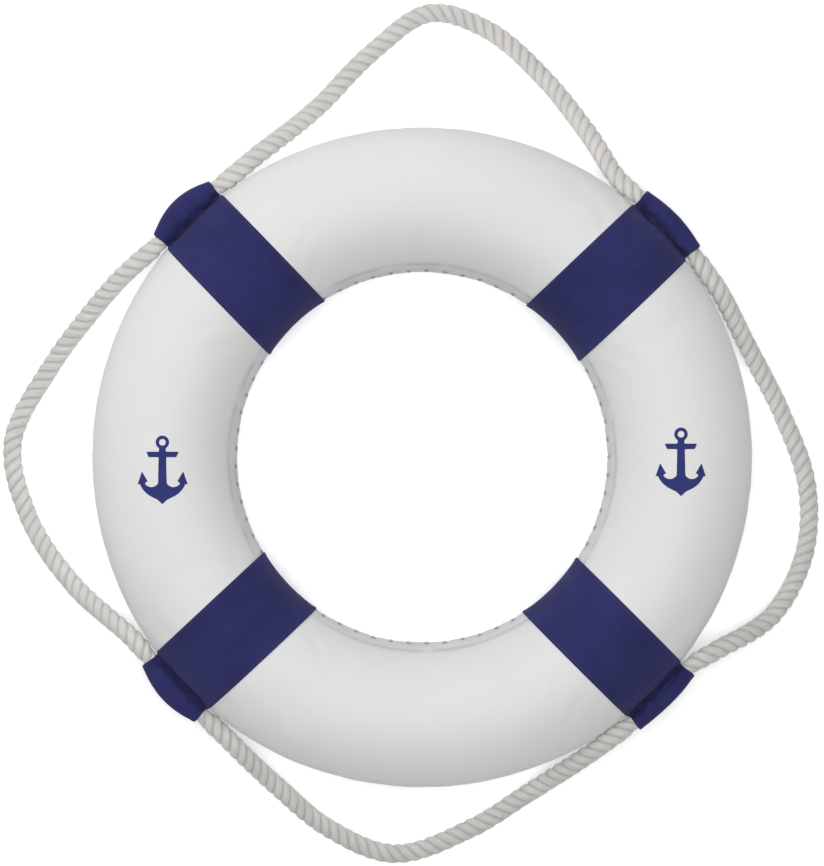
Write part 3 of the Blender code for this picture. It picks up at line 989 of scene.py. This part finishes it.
def add_band(name, material):
    """A band of navy cloth: a strip with hemmed edges, wrapped round the tube and round the rope."""
    t = np.linspace(-HALF_BAND, HALF_BAND, BAND_STEPS + 1)
    distance = band_section(t, name)[-1]
    rows = len(distance)
    length = np.linspace(0.0, FOLD_LENGTH, rows)[:, None]
    seed = 100 + sum(map(ord, name))
    folds = wave_sum(seed, count=16, longest=0.050, shortest=0.009)(length, t)
    soft = wave_sum(seed + 1, count=10, longest=0.120, shortest=0.040)(length, t)
    near = np.exp(-((distance / FOLD_REACH) ** 2))
    hem = smoothstep(HALF_BAND - HEM_WIDTH, HALF_BAND - HEM_TOP * HEM_WIDTH, np.abs(t)) + 0 * distance
    lift = PUCKER[name] * near * np.clip(folds, FOLD_LOW, FOLD_HIGH) + SOFT_FOLDS * soft + HEM_RISE * hem
    outside = band_points(name, t, lift)
    inside = band_points(name, t, np.minimum(lift, INSIDE_LIFT) - CLOTH_THICKNESS)
    rounded = band_points(name, t, lift - (CLOTH_THICKNESS + HEM_RISE) / 2)
    grown = rounded[:, [0, -1]] + (rounded[:, [0, -1]] - rounded[:, [1, -2]]) * EDGE_GROWTH
    loop = np.concatenate([outside, grown[:, 1:], inside[:, ::-1], grown[:, :1]], axis=1)
    middle = outside[:, BAND_STEPS // 2]
    along = np.concatenate([[0.0], np.cumsum(norm(np.diff(middle, axis=0), axis=-1))])
    long = float(along[-1] + norm(middle[0] - middle[-1]))
    across = np.concatenate([t, t[-1:] + EDGE_LENGTH, t[::-1], t[:1] - EDGE_LENGTH, t[:1]])
    uvs = grid_uvs(np.append(along, long), across)
    band = mesh_object(f"navy_band_{name}", loop, grid_faces(rows, loop.shape[1]), uvs)
    set_attribute(band, "hem", np.concatenate([hem, hem[:, :1], 0 * hem, hem[:, :1]], axis=1))
    # Mask for the painted shade along the crease.
    crease = np.exp(-((distance / CREASE_SHADE) ** 2))
    shaded = np.concatenate([crease, crease[:, -1:], crease[:, ::-1], crease[:, :1]], axis=1)
    set_attribute(band, "crease", shaded)
    outward(band)
    apply_modifier(band, "SUBSURF", levels=1, render_levels=1)
    finish_piece(band, "band", material, f"band_{name}")


# Stitches


def stitch_mesh(places, directions, normals, length, radius, rise):
    """Stitches as short bowed threads whose ends dive into the cloth, as points and faces."""
    share = np.linspace(-1.0, 1.0, STITCH_RINGS)
    turn = even_angles(STITCH_SIDES)
    tube = closed_tube_faces(STITCH_RINGS, STITCH_SIDES)
    points = []
    faces = []
    for place, direction, normal in zip(places, directions, normals):
        ahead = direction / norm(direction)
        up = normal / norm(normal)
        across = np.cross(ahead, up)
        first = len(points) * STITCH_RINGS * STITCH_SIDES
        arch = rise * (1 - share**2) - STITCH_DIVE * radius * share**4
        thick = radius * np.sqrt(1.06 - np.abs(share) ** 6)
        centre = place + ahead * (share * length / 2)[:, None] + up * arch[:, None]
        ring = across * np.cos(turn)[:, None] + up * np.sin(turn)[:, None]
        points.append((centre[:, None] + thick[:, None, None] * ring[None]).reshape(-1, 3))
        faces += [[first + index for index in face] for face in tube]
    return np.concatenate(points), faces


def add_stitches(name, groups, size, slot, material, node):
    """One thread's visible stitches, as one piece. groups are (places, directions, normals)."""
    places, directions, normals = (np.concatenate(part) for part in zip(*groups))
    points, faces = stitch_mesh(places, directions, normals, *size)
    thread = outward(mesh_object(name, points, faces))
    finish_piece(thread, slot, material, node)


def inner_seam_stitches(panel_tree, height):
    """Places on the hole's wall at a height from the centre plane, with their directions and normals."""
    places = []
    directions = []
    normals = []
    for angle in even_angles(INNER_STITCHES):
        aim = Vector((math.cos(angle), math.sin(angle), 0.0))
        source = aim * 0.5 * HOLE_RADIUS + Vector((0, 0, CENTRE_Z + height))
        hit, normal, _, _ = panel_tree.ray_cast(source, aim)
        places.append(tuple(hit))
        normals.append(tuple(normal))
        directions.append((-math.sin(angle), math.cos(angle), 0.0))
    return np.array(places), np.array(directions), np.array(normals)


def add_inner_seam_thread(panel_trees, material):
    """A ladder stitch round the hole: a dash in each dimple of the front and the rear lip."""
    height = TUBE_RADIUS * math.sin(math.radians(STITCH_ROW))
    groups = [inner_seam_stitches(*panel) for panel in zip(panel_trees, (height, -height))]
    add_stitches("hole_seam_stitches", groups, HOLE_STITCH, "seam_thread", material, "inner_seam_thread")


def add_outer_seam_thread(material):
    """The machine seam's stitches across the groove that joins the panels round the outside."""
    angle = even_angles(RIM_STITCHES)
    one = np.ones(RIM_STITCHES)
    places = polar((RING_RADIUS + TUBE_RADIUS - SEAM_DEPTH - RIM_SINK) * one, angle, CENTRE_Z)
    directions = np.array((0.0, 0.0, 1.0)) + RIM_SLANT * polar(one, angle + math.pi / 2, 0.0)
    normals = polar(one, angle, 0.0)
    groups = [(places, directions, normals)]
    add_stitches("rim_seam_stitches", groups, RIM_STITCH, "seam_thread", material, "outer_seam_thread")


def add_crease_thread(name, above, material):
    """The stitches along the bottom of the crease between a band's tunnel and the ring."""
    half = CREASE_SPAN * HALF_BAND
    points = band_points(name, np.linspace(-half, half, CREASE_STITCHES), CREASE_LIFT)
    bottom = TUNNEL_ROWS - 1 + CREASE_ROWS // 2
    places = points[bottom if above else len(points) - bottom]
    directions = np.gradient(places, axis=0)
    normals = np.tile((0.0, 0.0, 1.0 if above else -1.0), (CREASE_STITCHES, 1))
    kind = "needle" if above else "bobbin"
    node = f"{kind}_thread_{name}"
    groups = [(places, directions, normals)]
    add_stitches(f"{kind}_stitches_{name}", groups, CREASE_STITCH, "band_thread", material, node)


# The anchor prints


def arc(centre, radius, start, end, steps):
    """Points along an arc, with its angles in degrees."""
    angles = np.radians(np.linspace(start, end, steps + 1))
    return [(centre[0] + radius * math.cos(a), centre[1] + radius * math.sin(a)) for a in angles]


def anchor_outlines():
    """The outline of a plain anchor and of the hole in its eye, for a height of 1 with the tip at 0."""
    eye = (0.0, 0.902)
    right = arc(eye, 0.098, 90, -60, 18)
    right += [(0.050, 0.765), (0.235, 0.765), (0.200, 0.685), (0.055, 0.685)]
    right += arc((0.160, 0.362), 0.112, 210, 330, 12)
    right += [(0.215, 0.335), (0.300, 0.480), (0.365, 0.285)]
    right += arc((0.0, 0.430), 0.358, -22, -65, 12)
    tip = [(0.070, 0.065), (0.0, 0.0)]
    left = [(-x, y) for x, y in (right + tip)[-2:0:-1]]
    return right + tip + left, arc(eye, 0.048, 0, 350, 35)


def add_anchor(side, cover_tree, material):
    """A printed anchor: a thin film that lies on the cover."""
    node = f"anchor_print_{side}"
    low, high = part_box(node)
    height = high.y - low.y
    middle = (low + high) / 2
    curve = bpy.data.curves.new("anchor", "CURVE")
    curve.dimensions = "2D"
    curve.fill_mode = "BOTH"
    curve.extrude = GUIDE_HALF
    for outline in anchor_outlines():
        spline = curve.splines.new("POLY")
        spline.points.add(len(outline) - 1)
        spline.use_cyclic_u = True
        for point, (x, y) in zip(spline.points, outline):
            point.co = (x * height, (y - 0.5) * height, 0.0, 1.0)
    guide = new_object("anchor", curve)
    graph = bpy.context.evaluated_depsgraph_get()
    flat = bpy.data.meshes.new_from_object(guide.evaluated_get(graph))
    film = new_object(f"printed_anchor_{side}", flat)
    bpy.data.objects.remove(guide, do_unlink=True)
    apply_modifier(film, "REMESH", mode="VOXEL", voxel_size=FILM_VOXEL)
    points = mesh_points(film.data)
    layer = np.clip(points[:, 2] / GUIDE_HALF, -1, 1)
    for vertex, (x, y, _), share in zip(film.data.vertices, points, layer):
        above = Vector((middle.x + x, middle.y + y, CENTRE_Z + 2 * TUBE_RADIUS))
        hit, normal, _, _ = cover_tree.ray_cast(above, Vector((0, 0, -1)))
        vertex.co = hit + normal * (FILM_MIDDLE + FILM_HALF * share)
    film.data.shade_smooth()
    finish_piece(film, "anchor_print", material, node)


def tree_of(obj):
    """The object's surface, for casting rays onto it."""
    return BVHTree.FromObject(obj, bpy.context.evaluated_depsgraph_get())


add_camera()
add_studio()

rope, rope_line, rope_length = add_rope(rope_material())
tape = add_joint_tape(rope_line, tape_material())

start, held, phi, theta = cover_start()
cover_surface = capped(inflate(start, held), phi, theta)
canvas = cover_material()
foam = foam_material()
seam_row = len(cover_surface) // 2
front_rows = list(range(seam_row + 1))
rear_rows = [*range(seam_row, 2 * seam_row), 0]
front_cover = add_cover_panel("front_cover", cover_surface, front_rows, canvas, "cover_front_panel")
rear_cover = add_cover_panel("rear_cover", cover_surface, rear_rows, canvas, "cover_rear_panel")
add_foam_half("front_foam", cover_surface, front_rows, foam, "core_front_half")
add_foam_half("rear_foam", cover_surface, rear_rows, foam, "core_rear_half")

bpy.context.view_layer.update()
cover_trees = [tree_of(front_cover), tree_of(rear_cover)]
# Grey thread, painted darker than its own grey to stand in for the shade in the inner seam's stitch dimples;
# the rim stitches use it too.
grey_thread_with_painted_shade = thread_material("seam thread", rgb(0.33, 0.34, 0.37), rgb(0.16, 0.165, 0.19))
navy_thread = thread_material("navy thread", rgb(0.022, 0.023, 0.085), rgb(0.010, 0.010, 0.040))
add_inner_seam_thread(cover_trees, grey_thread_with_painted_shade)
add_outer_seam_thread(grey_thread_with_painted_shade)

navy_cloth = band_material()
for band_name in BAND_ANGLES:
    add_band(band_name, navy_cloth)
    add_crease_thread(band_name, True, navy_thread)
    add_crease_thread(band_name, False, navy_thread)

anchor_film = print_material()
for anchor_side in ("left", "right"):
    add_anchor(anchor_side, cover_trees[0], anchor_film)
